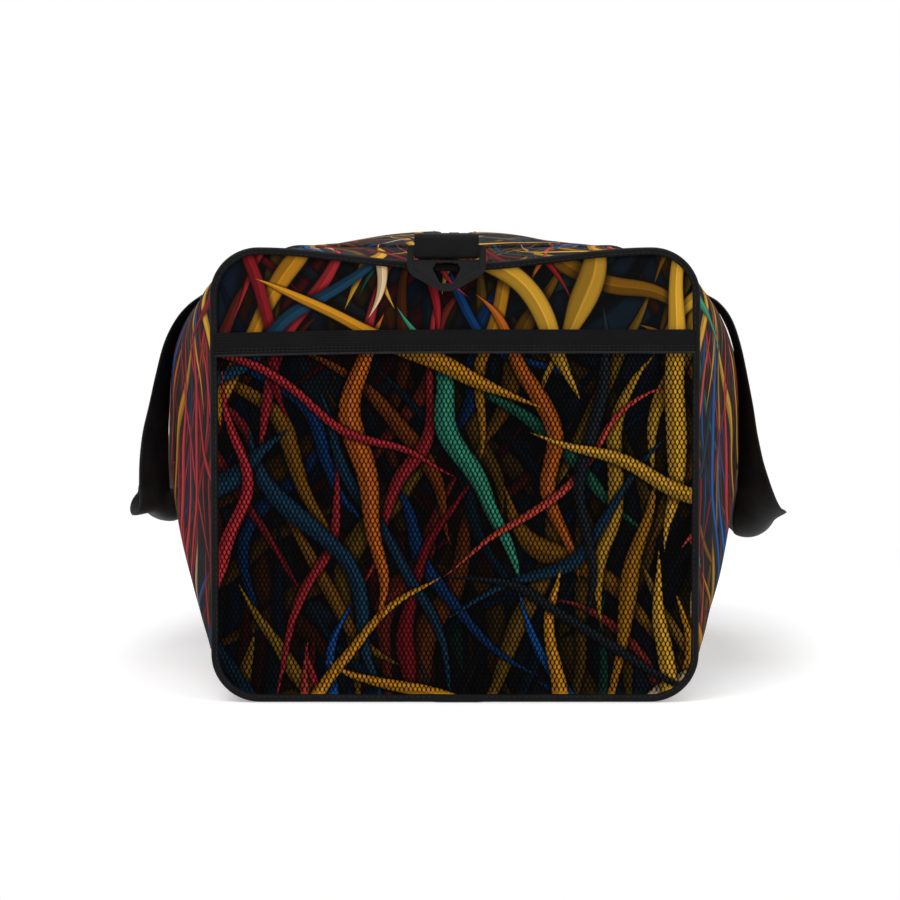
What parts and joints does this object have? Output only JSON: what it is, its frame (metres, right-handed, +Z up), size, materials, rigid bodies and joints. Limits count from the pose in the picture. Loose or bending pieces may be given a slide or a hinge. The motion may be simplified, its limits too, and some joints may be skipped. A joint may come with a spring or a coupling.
{
  "type": "duffle bag",
  "caption": "Printed boxy duffle bag with a zipped top, carrying handles, mesh end pockets and strap rings; packed to its full shape.",
  "frame": {"origin": "on the ground under the middle of the bag", "axes": "+X across the bag to the right seen from the near end, +Y along its length away from the near end, +Z up"},
  "size_m": [0.4462, 0.5858, 0.2815],
  "materials": {
    "printed_cloth": "printed polyester, plain weave",
    "zipper_tape": "black woven tape",
    "zipper_coil": "black nylon coil",
    "lining": "black coated polyester",
    "base_board": "black plastic board",
    "binding_tape": "black twill tape",
    "mesh": "black knitted mesh",
    "elastic": "black ribbed elastic",
    "zipper_metal": "black coated zinc",
    "ring_plastic": "black moulded acetal",
    "webbing": "black woven polypropylene"
  },
  "bodies": {
    "bag_body": {"base_panel": "printed_cloth", "side_panel_left": "printed_cloth", "side_panel_right": "printed_cloth", "end_strip_near": "printed_cloth", "end_strip_far": "printed_cloth", "end_panel_near": "printed_cloth", "end_panel_far": "printed_cloth", "lining": "lining", "base_board": "base_board", "end_binding_near": "binding_tape", "end_binding_far": "binding_tape", "pocket_mesh_near": "mesh", "pocket_mesh_far": "mesh", "pocket_elastic_near": "elastic", "pocket_elastic_far": "elastic", "zipper_stop_near": "zipper_metal", "zipper_stop_far": "zipper_metal", "ring_tab_near": "webbing", "ring_tab_far": "webbing", "handle_run_near_left": "webbing", "handle_run_near_right": "webbing", "handle_run_far_left": "webbing", "handle_run_far_right": "webbing"},
    "mouth_left": {"mouth_flap_left": "printed_cloth", "zipper_tape_left": "zipper_tape", "zipper_coil_left": "zipper_coil"},
    "mouth_right": {"mouth_flap_right": "printed_cloth", "zipper_tape_right": "zipper_tape", "zipper_coil_right": "zipper_coil"},
    "slider": {"zipper_slider": "zipper_metal"},
    "puller": {"zipper_puller": "zipper_metal"},
    "ring_near": {"strap_ring_near": "ring_plastic"},
    "ring_far": {"strap_ring_far": "ring_plastic"},
    "handle_left": {"handle_loop_left": "webbing"},
    "handle_right": {"handle_loop_right": "webbing"}
  },
  "joints": [
    {"name": "mouth_left_fold", "type": "hinge", "parent": "bag_body", "child": "mouth_left", "pos_m": [-0.105, 0, 0.27074], "axis": [0, -1, 0], "range_deg": [0, 100]},
    {"name": "mouth_right_fold", "type": "hinge", "parent": "bag_body", "child": "mouth_right", "pos_m": [0.105, 0, 0.27074], "axis": [0, 1, 0], "range_deg": [0, 100]},
    {"name": "slider_travel", "type": "slide", "parent": "bag_body", "child": "slider", "axis": [0, -1, 0], "range_m": [0, 0.41]},
    {"name": "puller_swing", "type": "hinge", "parent": "slider", "child": "puller", "pos_m": [0, 0.20528, 0.27731], "axis": [-1, 0, 0], "range_deg": [0, 165]},
    {"name": "strap_ring_near_swing", "type": "hinge", "parent": "bag_body", "child": "ring_near", "pos_m": [-0.005, -0.2874, 0.2705], "axis": [-1, 0, 0], "range_deg": [0, 95]},
    {"name": "strap_ring_far_swing", "type": "hinge", "parent": "bag_body", "child": "ring_far", "pos_m": [-0.005, 0.2874, 0.2705], "axis": [1, 0, 0], "range_deg": [0, 95]},
    {"name": "handle_left_lift", "type": "hinge", "parent": "bag_body", "child": "handle_left", "pos_m": [-0.16181, 0, 0.24041], "axis": [0, 1, 0], "range_deg": [0, 160]},
    {"name": "handle_right_lift", "type": "hinge", "parent": "bag_body", "child": "handle_right", "pos_m": [0.16181, 0, 0.24041], "axis": [0, -1, 0], "range_deg": [0, 160]}
  ],
  "couplings": [
    {"joint": "mouth_right_fold", "follows": "mouth_left_fold", "ratio": 1},
    {"joint": "slider_travel", "follows": "mouth_left_fold", "m_per_rad": 0.2349}
  ]
}
